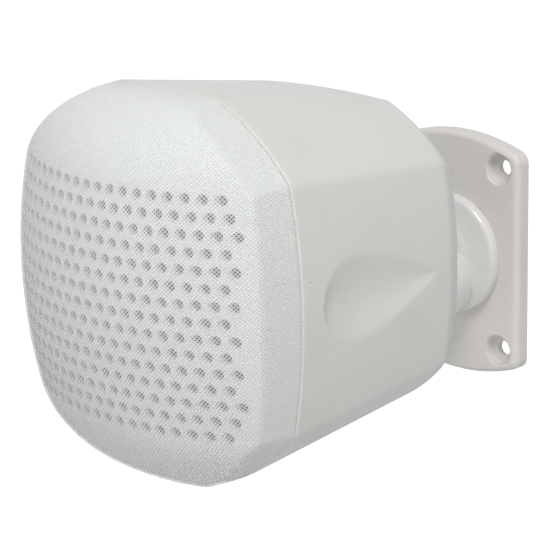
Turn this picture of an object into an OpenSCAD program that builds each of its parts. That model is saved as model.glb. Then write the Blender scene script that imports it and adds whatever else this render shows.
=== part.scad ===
// Wall and ceiling speaker on a swivel and tilt bracket.
// Millimetres. The origin is the centre of the wall plate's back face, +Z is up and the speaker faces -Y.

/* [Wall plate] */
// Width of the wall plate
plate_w = 68; // [60:1:90]
// Height of the wall plate at its corners
plate_h = 88; // [80:1:120]
// Rise of the arc along the top and the bottom of the plate
plate_rise = 6.7; // [2:0.1:10]
// Thickness of the wall plate
plate_t = 7; // [6:0.5:10]
// Thickness of the moulded walls of the plate
plate_wall = 3; // [2.4:0.2:3.4]
// Radius of the rounded front edge of the plate
plate_edge_r = 2.6; // [1:0.1:3]
// Radius of the plate's corners
plate_corner_r = 5; // [3:0.5:10]
// Distance between the fixing holes along X
fix_dx = 48; // [40:1:60]
// Distance between the fixing holes along Z
fix_dz = 76; // [60:1:100]
// Diameter of the fixing holes
fix_d = 6.5; // [4:0.5:8]
// Diameter of the wells that sink the screw heads
well_d = 12; // [9:0.5:14]

/* [Swivel and tilt] */
// Diameter of the swivel flange on the plate
hub_d = 50; // [44:1:56]
// Thickness of the swivel flange at its rim
hub_rim_t = 4.6; // [3:0.2:6]
// Radius of the ball shaped knuckle
ball_r = 16.8; // [15:0.2:20]
// Distance of the tilt axis from the wall
tilt_out = 18.9; // [17.5:0.1:24]
// Drop of the tilt axis below the swivel axis
tilt_drop = 9.8; // [6:0.2:11]
// Thickness of the arm's tongue in the knuckle
tongue_t = 7.6; // [6:0.2:10]
// Radius of the round end of the tongue
tongue_r = 9; // [7.5:0.5:9]
// Diameter of the tilt and swivel screws
pivot_d = 5; // [4:0.5:6]
// Largest tilt of the speaker downward, in degrees
tilt_down = 60; // [30:5:60]
// Largest tilt of the speaker upward, in degrees
tilt_up = 45; // [20:5:45]
// Radius of the arm's neck
neck_r = 11; // [9:0.5:12]
// Diameter of the arm's flange
arm_flange_d = 44; // [38:1:50]
// Thickness of the arm's flange
arm_flange_t = 5; // [4:0.5:8]

/* [Cabinet] */
// Height of the speaker's axis above the swivel axis
axis_z = 20; // [10:1:30]
// Distance from the wall to the cabinet's back
back_out = 74; // [70:1:100]
// Depth of the cabinet from its back to its mouth
cab_depth = 87; // [80:1:120]
// Half width of the mouth at its side corners
mouth_x1 = 62.2; // [56:0.2:75]
// Half height of the mouth at its side corners
mouth_z1 = 45; // [36:0.5:55]
// Half width of the mouth at its upper corners
mouth_x2 = 25.1; // [18:0.1:32]
// Half height of the mouth at its upper corners
mouth_z2 = 71.3; // [66:0.1:85]
// Narrowing of the half width from mouth to back
taper_x = 2.5; // [0:0.1:5]
// Narrowing of the half height from mouth to back
taper_z = 12.9; // [4:0.1:16]
// Depth of the bevel around the back
back_bevel = 6.4; // [3:0.1:9]
// Thickness of the cabinet's walls
cab_wall = 3; // [2:0.25:4]
// Depth of the hollow in each side of the cabinet
dimple_depth = 2.4; // [1:0.2:3]

/* [Grille] */
// Depth of the grille from the mouth to its foremost point
cap_depth = 40.6; // [36:0.2:50]
// Radius of the dome in plan
dome_plan_r = 107; // [95:1:140]
// Radius of the dome in side view over the hole field
dome_side_r = 214; // [160:1:300]
// Radius of the roll towards the top and bottom
dome_roll_r = 37; // [36:0.5:42]
// Thickness of the grille's moulded wall
grille_wall = 2; // [1.6:0.2:3]
// Distance between neighbouring holes and between rows
hole_pitch = 6; // [5:0.25:6.5]
// Diameter of the grille's holes
hole_d = 4; // [2.5:0.1:4.4]
// Thickness of the cloth
cloth_t = 0.6; // [0.4:0.1:1]

/* [Loudspeaker] */
// Outer diameter of the frame
frame_d = 106; // [96:1:110]
// Diameter of the cone with its surround
cone_d = 88; // [80:1:90]
// Diameter of the ferrite magnet
magnet_d = 65; // [55:1:72]
// Diameter of the voice coil's former
coil_d = 20; // [16:1:22]
// Depth of the frame behind the baffle
frame_depth = 25; // [22:1:32]

/* [Hidden] */

$fn = 64;
eps = 0.02;
gap = 0.3;
touch = 0.1;
far = 200;

// Places along Y, from the wall forward
plate_front = -plate_t;
plate_inner = plate_front + plate_wall;
well_floor = -plate_wall + 0.2;
well_wall = 2;
well_flare = 1.8;
rib_t = 2;
rib_top = -plate_wall - 1.5;
edge_steps = 4;
pivot = [0, -tilt_out, -tilt_drop];
back_y = -back_out;
shoulder_y = back_y - back_bevel;
mouth_y = back_y - cab_depth;
apex_y = mouth_y - cap_depth;

// Swivel parts
spigot_r = 6;
spigot_fit = 0.05;
washer_r = 11;
washer_room_r = washer_r + 1.5;
washer_t = 0.8;
wave_t = 0.6;
swivel_head_r = 4.75;
swivel_head_h = 2.2;
pivot_r = pivot_d / 2;
pivot_fit = 0.05;
insert_r = 3.5;
insert_l = 5;
swivel_reach = 3.4;
friction_t = 1;
slot_half = tongue_t / 2 + friction_t + 2 * touch;
ball_clear = 0.4;
slot_r = tongue_r + 0.6;
tongue_half_h = 7;
cheek_flat = 13.4;
button_r = 4.75;
button_h = 2.75;
hex_r = 1.75;
hex_depth = 1.8;
tongue_clear = 0.5;
insert_room = 1.2;
insert_out = 2.2;

// The mouth of the cabinet: [side corner, upper corner] and the bulges of side, corner and top edges
mouth = [[mouth_x1, mouth_z1], [mouth_x2, mouth_z2]];
mouth_bulge = [4.7, 2.9, 1.5];
shoulder = [[mouth_x1 - taper_x, mouth_z1 - taper_z / 2], [mouth_x2 + 3 * taper_x, mouth_z2 - taper_z]];
back_bulge = [3.6, 2, 1.2];
bevel_inset = 2;
cap_front = [[mouth_x1 - 3.4, mouth_z1 - 3.1], [mouth_x2 + 0.5, mouth_z2 - 3.4]];
edge_points = 6;
dimple_front = 11.5;
dimple_back = 15.5;
dimple_half_h = 15;
seam_gap = 0.4;
cloth_gap = 0.25;

// Baffle
ledge = 2.4;
pocket_wall = 2.4;
baffle_t = 5;
baffle_y = mouth_y + 3;
baffle_back = baffle_y + baffle_t;
gasket_t = 1;
ledge_y = baffle_back + gasket_t;
baffle_screw_places = [[mouth_x1 - 3.7, 0], [-mouth_x1 + 3.7, 0],
    [16, mouth_z2 - 9.3], [-16, mouth_z2 - 9.3], [16, -mouth_z2 + 9.3], [-16, -mouth_z2 + 9.3]];
baffle_screw_r = 1.5;
baffle_boss_l = 15;
baffle_boss_r = 4.2;

// Grille posts and their sockets in the baffle
post_r = 3;
post_places = [for (sx = [-1, 1]) for (sz = [-1, 1])
    [sx * ((mouth_x1 + mouth_x2) / 2 - 2.6), sz * ((mouth_z1 + mouth_z2) / 2 - 8.2)]];
socket_r = 5;
post_end = baffle_y + 3.6;

// Loudspeaker places along Y
frame_t = 1.2;
window_w = 22;
driver_gasket_t = 1;
frame_back = baffle_y - driver_gasket_t;
frame_front = frame_back - frame_t;
frame_r = frame_d / 2;
throat_r = cone_d / 2 + 1;
lip_r = cone_d / 2 - 1;
roll_r = 3.5;
surround_t = 0.6;
cone_r = lip_r - 2 * roll_r - 0.4;
seat_y = frame_back + frame_depth;
seat_t = 1.6;
seat_r = magnet_d / 2 - 5.5;
former_r = coil_d / 2;
former_t = 0.4;
winding_t = 0.4;
coil_gap = 0.3;
pole_r = former_r - former_t - coil_gap;
plate_bore_r = former_r + winding_t + coil_gap;
top_plate_t = 4;
magnet_t = 12;
yoke_t = 4;
top_plate_y = seat_y + seat_t;
magnet_y = top_plate_y + top_plate_t;
yoke_y = magnet_y + magnet_t;
spider_y = seat_y - 6;
spider_r = seat_r + 1.5;
cone_t = 0.7;
cone_neck_y = seat_y - 10.5;
driver_screw_pcd = 98;
driver_screw_r = 2;
driver_head_r = 3.4;
glue_w = driver_screw_pcd / 2 - driver_head_r - lip_r - gap;

// Leads and the tag strip, laid on the sloping top leg of the frame
lead_r = 0.9;
lead_sides = 8;
lead_rings = 20;
tag_t = 1.2;
tag_x = 5;
tag_end = 4.5;
leg_y = [frame_back + 3, spider_y + 1];
leg_r = [throat_r, spider_r + 3];
leg_angle = atan((leg_r[0] - leg_r[1]) / (leg_y[1] - leg_y[0]));
leg_mid = [0, frame_back + 9, axis_z + leg_r[0] - (frame_back + 9 - leg_y[0]) * tan(leg_angle)];
leg_down = [0, cos(leg_angle), -sin(leg_angle)];
leg_out = [0, sin(leg_angle), cos(leg_angle)];
lead_end = leg_mid + leg_down * (tag_end + lead_r) + leg_out * (tag_t + touch);

// Cable inlet and terminal block on the inside of the back, above the speaker's axis
inlet_z = axis_z + 34;
inlet_r = 5;
block_w = 20;
block_h = 10;
block_d = 9;
block_bore_r = 2.4;
block_z = axis_z + 19;
back_inner = back_y - cab_wall;

wad_t = 14;
wad_top = axis_z + 8;

arm_screw_pcd = 34;
arm_screw_r = 2;
arm_screw_l = 12;
arm_head_r = 3.8;
arm_head_h = 2.7;
arm_boss_r = 4.6;
arm_boss_l = 13;

// Point at t along the edge from a to b, pushed out by a parabola of height s at the middle
function bowed(a, b, s, t) = let (d = b - a, n = [d[1], -d[0]] / norm(d)) a + d * t + n * 4 * s * t * (1 - t);

// The eight corners of an outline whose side corner is v[0] and upper corner is v[1], anticlockwise
function corners(v) = let (a = v[0], b = v[1])
    [[a[0], -a[1]], a, b, [-b[0], b[1]], [-a[0], a[1]], -a, -b, [b[0], -b[1]]];

// The outline itself, with its edges bowed by s = [side, corner, top]
function outline(v, s) = let (c = corners(v), bow = [s[0], s[1], s[2], s[1]])
    [for (k = [0:7]) for (i = [0:edge_points - 1])
        bowed(c[k], c[(k + 1) % 8], bow[k % 4], i / edge_points)];

// The two corners moved in so that every edge lies w further in
function inset(v, w) = let (d = [v[0][0] - v[1][0], v[1][1] - v[0][1]], n = [d[1], d[0]] / norm(d))
    [[v[0][0] - w, v[0][1] - w * (1 - n[0]) / n[1]], [v[1][0] - w * (1 - n[1]) / n[0], v[1][1] - w]];

// Corners between a and b at the share t
function between(a, b, t) = a + (b - a) * t;

// A ring of points at y, on the speaker's axis
function ring(y, v, s) = [for (p = outline(v, s)) [p[0], y, p[1] + axis_z]];

// Corners of the cabinet's outside at y, between mouth and shoulder
function cab_at(y) = between(mouth, shoulder, (y - mouth_y) / (shoulder_y - mouth_y));
function bow_at(y) = between(mouth_bulge, back_bulge, (y - mouth_y) / (shoulder_y - mouth_y));

// Solid through rings of equally many points, closed at both ends
module loft(rings) {
    n = len(rings[0]);
    last = (len(rings) - 1) * n;
    sides = [for (k = [0:n:last - n]) for (i = [0:n - 1]) let (j = (i + 1) % n)
        each [[k + i, k + j, k + n + i], [k + j, k + n + j, k + n + i]]];
    polyhedron([for (r = rings) each r],
        concat([[for (i = [n - 1:-1:0]) i]], sides, [[for (i = [0:n - 1]) last + i]]));
}

module rod_y(r, y0, y1) {
    translate([0, y0, 0]) rotate([-90, 0, 0]) cylinder(r = r, h = y1 - y0);
}

module rod_x(r, x0, x1) {
    translate([x0, 0, 0]) rotate([0, 90, 0]) cylinder(r = r, h = x1 - x0);
}

// A ring along Y between two radii
module ring_y(r_in, r_out, y0, y1) {
    difference() {
        rod_y(r_out, y0, y1);
        rod_y(r_in, y0 - 1, y1 + 1);
    }
}

// Cross recess from y over the given depth, with arms of width w and length l
module cross_cut(y, depth, w, l) {
    for (a = [0, 90]) rotate([0, a, 0]) translate([-w / 2, y, -l / 2]) cube([w, depth, l]);
}

// A profile of [radius, y] points turned about the Y axis
module turned(profile) {
    rotate([-90, 0, 0]) rotate_extrude($fn = 96) polygon(profile);
}

module on_axis() {
    translate([0, 0, axis_z]) children();
}

// Outline of the wall plate, made smaller by w all round
module plate_outline(w) {
    arc_r = (plate_w * plate_w / 4 + plate_rise * plate_rise) / (2 * plate_rise);
    offset(r = -w, $fn = 24) offset(r = plate_corner_r, $fn = 24) offset(r = -plate_corner_r, $fn = 24)
        intersection() {
            square([plate_w, 2 * plate_h], center = true);
            translate([0, plate_h / 2 + plate_rise - arc_r]) circle(r = arc_r, $fn = 120);
            translate([0, arc_r - plate_h / 2 - plate_rise]) circle(r = arc_r, $fn = 120);
        }
}

module plate_slab(w, y0, y1) {
    translate([0, y1, 0]) rotate([90, 0, 0]) linear_extrude(y1 - y0) plate_outline(w);
}

module fix_places() {
    for (sx = [-1, 1]) for (sz = [-1, 1]) translate([sx * fix_dx / 2, 0, sz * fix_dz / 2]) children();
}

module wall_plate() color("#dfdcd8") difference() {
    union() {
        difference() {
            union() {
                plate_slab(0, plate_front + plate_edge_r, 0);
                // The rounded front edge, in steps of the quarter circle
                for (i = [0:edge_steps - 1]) {
                    a0 = i * 90 / edge_steps;
                    a1 = a0 + 90 / edge_steps;
                    plate_slab(plate_edge_r * (1 - cos((a0 + a1) / 2)),
                        plate_front + plate_edge_r * (1 - sin(a1)),
                        plate_front + plate_edge_r * (1 - sin(a0)) + eps);
                }
            }
            plate_slab(plate_wall, plate_inner, 1);
        }
        fix_places() rod_y(well_d / 2 + well_wall, plate_inner - eps, 0);
        // Stiffening ribs and the ring around the swivel, flush with the wall
        intersection() {
            plate_slab(plate_wall - 0.5, plate_inner - eps, 0);
            union() {
                ring_y(washer_room_r, washer_room_r + rib_t, plate_inner - eps, 0);
                for (sx = [-1, 1]) translate([sx * fix_dx / 2 - rib_t / 2, rib_top, -fix_dz / 2])
                    cube([rib_t, -rib_top, fix_dz]);
                for (sz = [-1, 1]) translate([-plate_w / 2, rib_top, sz * fix_dz / 4 - rib_t / 2])
                    cube([plate_w, -rib_top, rib_t]);
            }
        }
    }
    rod_y(spigot_r + spigot_fit, plate_front - 1, plate_inner + 1);
    rod_y(washer_room_r, plate_inner, 1);
    fix_places() {
        rod_y(fix_d / 2, plate_front - 1, 1);
        rod_y(well_d / 2, plate_front - 1, well_floor);
        turned([[0, plate_front - 1], [well_d / 2 + well_flare, plate_front - 1],
            [well_d / 2, plate_front + well_flare - 1], [0, plate_front + well_flare - 1]]);
    }
}

module swivel_washer() color("#b9bcc0")
    ring_y(pivot_r + 0.3, washer_r, plate_inner, plate_inner + washer_t);

module wave_washer() color("#8d9094")
    ring_y(pivot_r + 0.4, washer_r - 4, plate_inner + washer_t, plate_inner + washer_t + wave_t);

module swivel_screw() color("#c9ccd0") {
    head_y = plate_inner + washer_t + wave_t;
    difference() {
        union() {
            rod_y(pivot_r, plate_front - swivel_reach, head_y + 0.5);
            turned([[0, head_y], [swivel_head_r, head_y], [swivel_head_r, head_y + swivel_head_h - 1],
                [swivel_head_r - 0.75, head_y + swivel_head_h - 0.3], [0, head_y + swivel_head_h]]);
        }
        cross_cut(head_y + 0.9, 2, 1.2, 5.2);
    }
}

// Outline of the sweep of the tongue between its two limits, in the plane across the tilt axis
module tongue_sweep(h) {
    down = [-cos(tilt_down), -sin(tilt_down)];
    up = [-cos(tilt_up), sin(tilt_up)];
    low = h * [sin(tilt_down), -cos(tilt_down)];
    high = h * [sin(tilt_up), cos(tilt_up)];
    reach = 2 * ball_r;
    polygon([[2, 0], low, low + down * reach, [-reach * 1.5, 0], high + up * reach, high]);
}

// Extrudes a drawing of the Y-Z plane along X, centred on X = 0
module across_x(w) {
    translate([-w / 2, 0, 0]) rotate([90, 0, 90]) linear_extrude(w) children();
}

// The ball, flat in front where the slot opens and straight behind the flange's front
module knuckle_ball() {
    front = sqrt(ball_r * ball_r - slot_half * slot_half);
    back = tilt_out - plate_t - hub_rim_t;
    rotate([-90, 0, 0]) rotate_extrude($fn = 96) {
        intersection() {
            circle(r = ball_r, $fn = 96);
            translate([0, -front]) square([ball_r, front + back]);
        }
        square([sqrt(ball_r * ball_r - back * back), tilt_out - plate_t]);
    }
}

module swivel_knuckle() color("#eceeed") {
    rim_y = plate_front - hub_rim_t;
    hub_r = hub_d / 2;
    difference() {
        union() {
            rod_y(spigot_r, plate_front - 1, plate_inner - touch);
            intersection() {
                union() {
                    turned([[0, plate_front], [hub_r - 0.5, plate_front], [hub_r, plate_front - 0.6],
                        [hub_r, rim_y + 2], [hub_r - 0.35, rim_y + 1.1], [hub_r - 1.1, rim_y + 0.35],
                        [hub_r - 2, rim_y], [hub_r - 6, rim_y - 0.9], [hub_r - 10, rim_y - 2.1],
                        [hub_r - 13, rim_y - 4], [0, rim_y - 5]]);
                    translate(pivot) knuckle_ball();
                }
                translate([-far, -far, -far]) cube([2 * far, far + plate_front, 2 * far]);
            }
        }
        // Slot for the arm's tongue
        translate(pivot) {
            rod_x(slot_r, -slot_half, slot_half);
            across_x(2 * slot_half) tongue_sweep(tongue_half_h + tongue_clear);
            // Bore for the tilt screw, its sunk head on the left and the blind seat of its insert
            rod_x(pivot_r + pivot_fit, -far, 0);
            rod_x(button_r + 0.4, -far, -cheek_flat);
            rod_x(insert_r, 0, slot_half + touch + insert_l + insert_room);
        }
        rod_y(insert_r, plate_front - insert_l + insert_out, plate_front + far);
        rod_y(pivot_r + pivot_fit, plate_front - swivel_reach - 0.4, 0);
    }
}

module brass_inserts() color("#c2a35a") {
    ring_y(pivot_r + pivot_fit, insert_r, plate_front - insert_l + insert_out, plate_inner - touch);
    translate(pivot) difference() {
        rod_x(insert_r, slot_half + touch, slot_half + touch + insert_l);
        rod_x(pivot_r + pivot_fit, 0, far);
    }
}

module tilt_screw() color("#c9ccd0") translate(pivot) difference() {
    union() {
        rod_x(pivot_r, -cheek_flat, slot_half + insert_l);
        rotate([0, 0, 90]) turned([[0, cheek_flat], [button_r, cheek_flat], [button_r, cheek_flat + 0.8],
            [button_r - 1.1, cheek_flat + button_h - 0.4], [0, cheek_flat + button_h]]);
    }
    translate([-cheek_flat - button_h - 1, 0, 0]) rotate([0, 90, 0])
        cylinder(r = hex_r, h = hex_depth + 1, $fn = 6);
}

module friction_washers() color("#e8e4d6") translate(pivot) for (s = [-1, 1])
    translate([s * (tongue_t / 2 + touch + friction_t / 2), 0, 0]) difference() {
        rod_x(tongue_r - 1, -friction_t / 2, friction_t / 2);
        rod_x(pivot_r + 0.1, -1, 1);
    }

module arm_screw_places() {
    for (a = [45:90:315]) translate([0, 0, -tilt_drop]) rotate([0, a, 0])
        translate([arm_screw_pcd / 2, 0, 0]) children();
}

module tilt_arm() color("#e6e7e5") {
    root = ball_r * 0.74;
    flange_y = back_y + arm_flange_t;
    difference() {
        union() {
            translate([0, 0, -tilt_drop]) turned([[0, back_y], [arm_flange_d / 2, back_y],
                [arm_flange_d / 2, flange_y - 1.4], [arm_flange_d / 2 - 1.4, flange_y],
                [neck_r + 4, flange_y + 0.3], [neck_r + 1.4, flange_y + 2.2], [neck_r, flange_y + 6],
                [neck_r, pivot[1] - ball_r - 9], [neck_r + 0.7, pivot[1] - ball_r - 3.5],
                [neck_r + 1.5, pivot[1] - root], [0, pivot[1] - root]]);
        }
        translate(pivot) sphere(r = ball_r + ball_clear, $fn = 96);
        // The hollow of the moulding, open towards the cabinet
        translate([0, 0, -tilt_drop]) rod_y(neck_r - 4, back_y - 1, pivot[1] - ball_r - 8);
        arm_screw_places() {
            rod_y(arm_screw_r + 0.2, back_y - 1, 0);
            rod_y(arm_head_r + 0.4, flange_y, 0);
        }
    }
    translate(pivot) difference() {
        across_x(tongue_t) union() {
            circle(r = tongue_r);
            translate([-ball_r - 4, -tongue_half_h]) square([ball_r + 4, 2 * tongue_half_h]);
        }
        rod_x(pivot_r + pivot_fit, -far, far);
    }
}

module arm_screws() color("#b9bcc0") arm_screw_places() {
    head_y = back_y + arm_flange_t;
    difference() {
        union() {
            rod_y(arm_screw_r, head_y - arm_flange_t - arm_screw_l, head_y + 0.5);
            turned([[0, head_y], [arm_head_r, head_y], [arm_head_r - 0.2, head_y + arm_head_h - 1.3],
                [arm_head_r - 1.4, head_y + arm_head_h - 0.3], [0, head_y + arm_head_h]]);
        }
        cross_cut(head_y + 1, 3, 1, 4);
    }
}

// Cutter for the drop shaped hollow in the right side: round towards the mouth, pointed towards the back
module dimple_cutter() {
    y0 = mouth_y + dimple_front;
    y1 = back_y - dimple_back;
    steps = 14;
    clear_x = mouth_x1 + 12;
    function half_h(t) = dimple_half_h * pow(sin(180 * pow(t, 0.55)), 0.8) + 0.15;
    function surface_x(y, z) = let (v = cab_at(y), b = bow_at(y)[0], u = (z / v[0][1] + 1) / 2)
        v[0][0] + 4 * b * u * (1 - u);
    loft([for (k = [0:steps]) let (t = k / steps, y = y0 + (y1 - y0) * t, h = half_h(t),
            d = dimple_depth * h / dimple_half_h)
        concat([for (i = [0:8]) let (u = 1 - i / 4)
                [surface_x(y, h * u) + 0.05 - d * (1 - u * u), y, axis_z + h * u]],
            [[clear_x, y, axis_z - h], [clear_x, y, axis_z + h]])]);
}

module baffle_screw_at() {
    for (p = baffle_screw_places) translate([p[0], 0, p[1] + axis_z]) children();
}

module cabinet() color("#dcdedc") {
    tub_y = ledge_y + 6;
    inner_back = inset(cab_at(back_inner - 4), cab_wall);
    difference() {
        union() {
            difference() {
                loft([ring(mouth_y, inset(mouth, 0.5), mouth_bulge), ring(mouth_y + 0.5, mouth, mouth_bulge),
                    ring(shoulder_y, shoulder, back_bulge),
                    ring(back_y, inset(shoulder, bevel_inset), back_bulge)]);
                // The mouth's pocket, the ledge behind the baffle and the room behind it
                loft([ring(mouth_y - 1, inset(mouth, pocket_wall), mouth_bulge),
                    ring(ledge_y, inset(cab_at(ledge_y), pocket_wall), bow_at(ledge_y))]);
                loft([ring(ledge_y - 1, inset(cab_at(ledge_y), cab_wall + ledge), bow_at(ledge_y)),
                    ring(ledge_y + 2, inset(cab_at(ledge_y), cab_wall + ledge), bow_at(ledge_y)),
                    ring(tub_y, inset(cab_at(tub_y), cab_wall), bow_at(tub_y)),
                    ring(back_inner - 4, inner_back, back_bulge),
                    ring(back_inner, inset(inner_back, 2), back_bulge)]);
                for (m = [0, 1]) mirror([m, 0, 0]) dimple_cutter();
            }
            // Bosses for the baffle's screws, grown into the walls, and for the arm's screws
            intersection() {
                loft([ring(mouth_y + 0.5, inset(mouth, 1), mouth_bulge),
                    ring(shoulder_y, inset(shoulder, 1), back_bulge)]);
                baffle_screw_at() rod_y(baffle_boss_r, ledge_y, ledge_y + baffle_boss_l);
            }
            arm_screw_places() rod_y(arm_boss_r, back_inner - arm_boss_l, back_inner + 1);
        }
        baffle_screw_at() rod_y(baffle_screw_r, ledge_y - 1, ledge_y + baffle_boss_l - 3);
        arm_screw_places() rod_y(arm_screw_r, back_inner - arm_boss_l + 1.5, back_y + 1);
        translate([0, 0, inlet_z]) rod_y(inlet_r, back_inner - 1, back_y + 1);
    }
}

module cable_grommet() color("#3a3a3a") translate([0, 0, inlet_z]) turned([
    [0, back_y - 1.2], [inlet_r - touch, back_y - 1.2], [inlet_r - touch, back_y + touch],
    [inlet_r + 1.8, back_y + touch], [inlet_r + 1.3, back_y + 1.4], [inlet_r - 1.4, back_y + 2],
    [inlet_r - 2.2, back_y], [0, back_y]]);

module terminal_block() color("#e9e6da") difference() {
    translate([-block_w / 2, back_inner - block_d, block_z - block_h / 2]) cube([block_w, block_d, block_h]);
    for (s = [-1, 1]) translate([s * block_w / 4, 0, block_z]) {
        rod_y(block_bore_r, back_inner - block_d - 1, back_inner - block_d + 5);
        translate([-1.8, back_inner - 5.2, -block_h]) cube([3.6, 3, block_h - 1]);
    }
}

module terminal_screws() color("#c2a35a") for (s = [-1, 1])
    translate([s * block_w / 4, 0, block_z]) difference() {
        rod_y(block_bore_r - 0.2, back_inner - block_d + 0.4, back_inner - block_d + 4.9);
        translate([-0.35, back_inner - block_d, -3]) cube([0.7, 1.4, 6]);
    }

// Two leads from the terminal block to the tags on the frame
function lead_point(s, t) = let (
        a = [s * block_w / 4, back_inner - block_d + 2.5, block_z + block_h / 2 + lead_r],
        b = [s * block_w / 4, back_inner - block_d - 4, block_z + 22],
        c = lead_end + [s * (tag_x + 2), 14, 5], d = lead_end + [s * tag_x, 0, 0])
    a * pow(1 - t, 3) + b * 3 * t * pow(1 - t, 2) + c * 3 * t * t * (1 - t) + d * pow(t, 3);

module internal_leads() color("#b04038") for (s = [-1, 1])
    loft([for (k = [0:lead_rings]) let (t = k / lead_rings, p = lead_point(s, t),
            q = lead_point(s, t + 0.01) - lead_point(s, t - 0.01), n = q / norm(q),
            u = cross(n, [1, 0, 0]), v = u / norm(u), w = cross(n, v))
        [for (i = [0:lead_sides - 1]) let (a = 360 * i / lead_sides)
            p + lead_r * (v * cos(a) + w * sin(a))]]);

module damping_wad() color("#f2f1ec") {
    wad_front = back_inner - arm_boss_l - wad_t;
    wad_back = back_inner - arm_boss_l - gap;
    intersection() {
        loft([ring(wad_front, inset(cab_at(wad_front), cab_wall + gap), bow_at(wad_front)),
            ring(wad_back, inset(cab_at(wad_back), cab_wall + gap), bow_at(wad_back))]);
        translate([-far, -far, wad_top - 2 * far]) cube([2 * far, 2 * far, 2 * far]);
    }
}

module baffle_body(clear, y0, y1) {
    loft([ring(y0, inset(cab_at(y0), pocket_wall + clear), bow_at(y0)),
        ring(y1, inset(cab_at(y1), pocket_wall + clear), bow_at(y1))]);
}

module driver_screw_at(r) {
    on_axis() for (a = [45:90:315]) rotate([0, a, 0]) translate([r, 0, 0]) children();
}

module post_at() {
    for (p = post_places) translate([p[0], 0, p[1] + axis_z]) children();
}

module baffle() color("#4a4a4a") difference() {
    baffle_body(gap, baffle_y, baffle_back);
    on_axis() rod_y(throat_r + 0.6, baffle_y - 1, baffle_back + 1);
    driver_screw_at(driver_screw_pcd / 2) rod_y(driver_screw_r - 0.3, baffle_y - 1, baffle_back + 1);
    baffle_screw_at() rod_y(baffle_screw_r + 0.2, baffle_y - 1, baffle_back + 1);
    post_at() rod_y(socket_r, baffle_y - 1, baffle_back + 1);
}

module baffle_gasket() color("#2c2c2c") difference() {
    baffle_body(gap, baffle_back, ledge_y);
    loft([ring(baffle_back - 1, inset(cab_at(ledge_y), cab_wall + ledge - 0.4), bow_at(ledge_y)),
        ring(ledge_y + 1, inset(cab_at(ledge_y), cab_wall + ledge - 0.4), bow_at(ledge_y))]);
    baffle_screw_at() rod_y(baffle_screw_r + 0.2, baffle_y - 1, ledge_y + 1);
}

module pan_screw(r, head_r, head_h, y, length) {
    difference() {
        union() {
            rod_y(r, y - 0.5, y + length);
            turned([[0, y], [head_r, y], [head_r - 0.2, y - head_h * 0.55], [head_r * 0.6, y - head_h],
                [0, y - head_h]]);
        }
        cross_cut(y - head_h - 1, 1 + head_h * 0.6, 0.8, head_r * 1.1);
    }
}

module baffle_screws() color("#8d9094") baffle_screw_at()
    pan_screw(baffle_screw_r, 2.9, 1.8, baffle_y, baffle_t + gasket_t + 9);

module driver_gasket() color("#2c2c2c") difference() {
    on_axis() ring_y(throat_r + 0.6, frame_r, frame_back, baffle_y);
    driver_screw_at(driver_screw_pcd / 2) rod_y(driver_screw_r + 0.2, frame_back - 1, baffle_y + 1);
}

module driver_screws() color("#8d9094") driver_screw_at(driver_screw_pcd / 2)
    pan_screw(driver_screw_r - 0.35, driver_head_r, 2, frame_front, baffle_t + driver_gasket_t + frame_t);

// Pressed steel frame with four windows
module basket() color("#3f4347") on_axis() difference() {
    turned([[lip_r, frame_front], [frame_r, frame_front], [frame_r, frame_back], [throat_r, frame_back],
        [throat_r, frame_back + 3], [spider_r + 3, spider_y + 1], [spider_r, spider_y + 1],
        [spider_r, seat_y + seat_t], [plate_bore_r + 4, seat_y + seat_t], [plate_bore_r + 4, seat_y],
        [spider_r - 1.2, seat_y], [spider_r - 1.2, spider_y + 0.4], [spider_r - 3, spider_y + 0.4],
        [spider_r - 3, spider_y], [spider_r + 2.4, spider_y], [throat_r - 1.2, frame_back + 2.6],
        [throat_r - 1.2, frame_back], [lip_r, frame_back]]);
    for (a = [45:90:315]) rotate([0, a, 0]) {
        translate([spider_r + 4.5, frame_back + 6, -window_w / 2])
            cube([far, spider_y - frame_back - 8, window_w]);
        translate([driver_screw_pcd / 2, 0, 0]) rod_y(driver_screw_r + 0.1, frame_front - 1, frame_back + 1);
    }
}

module top_plate() color("#a9adb1") on_axis()
    ring_y(plate_bore_r, seat_r, top_plate_y, magnet_y);

module magnet() color("#33363a") on_axis()
    ring_y(plate_bore_r + 3.5, magnet_d / 2, magnet_y, yoke_y);

module yoke() color("#a9adb1") on_axis() {
    rod_y(pole_r, top_plate_y, yoke_y + 1);
    turned([[0, yoke_y], [seat_r, yoke_y], [seat_r, yoke_y + yoke_t - 1], [seat_r - 1, yoke_y + yoke_t],
        [0, yoke_y + yoke_t]]);
}

// Corrugated centring disc
module spider() {
    r0 = former_r + gap;
    r1 = spider_r - 1.4;
    waves = 4;
    steps = 8 * waves;
    function wave(i) = [r0 + (r1 - r0) * i / steps, spider_y - 1 + 0.9 * sin(360 * waves * i / steps)];
    color("#c9a24a") on_axis()
        turned(concat([for (i = [0:steps]) wave(i)], [for (i = [steps:-1:0]) wave(i) - [0, 0.5]]));
}

// Half roll between the cone and the lip glued to the frame
module surround() color("#26282a") on_axis() {
    mid_r = lip_r - roll_r;
    y0 = frame_front;
    turned(concat(
        [for (a = [0:15:180]) [mid_r - roll_r * cos(a), y0 - surround_t - roll_r * sin(a)]],
        [[lip_r + glue_w, y0 - surround_t], [lip_r + glue_w, y0], [lip_r - surround_t, y0]],
        [for (a = [165:-15:15])
            [mid_r - (roll_r - surround_t) * cos(a), y0 - surround_t - (roll_r - surround_t) * sin(a)]],
        [[cone_r + 0.4 + surround_t, y0], [cone_r + 0.4, y0]]));
}

module surround_ring() color("#1f2123") on_axis()
    ring_y(lip_r + 0.5, lip_r + glue_w, frame_front - surround_t - 1.6, frame_front - surround_t);

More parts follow.
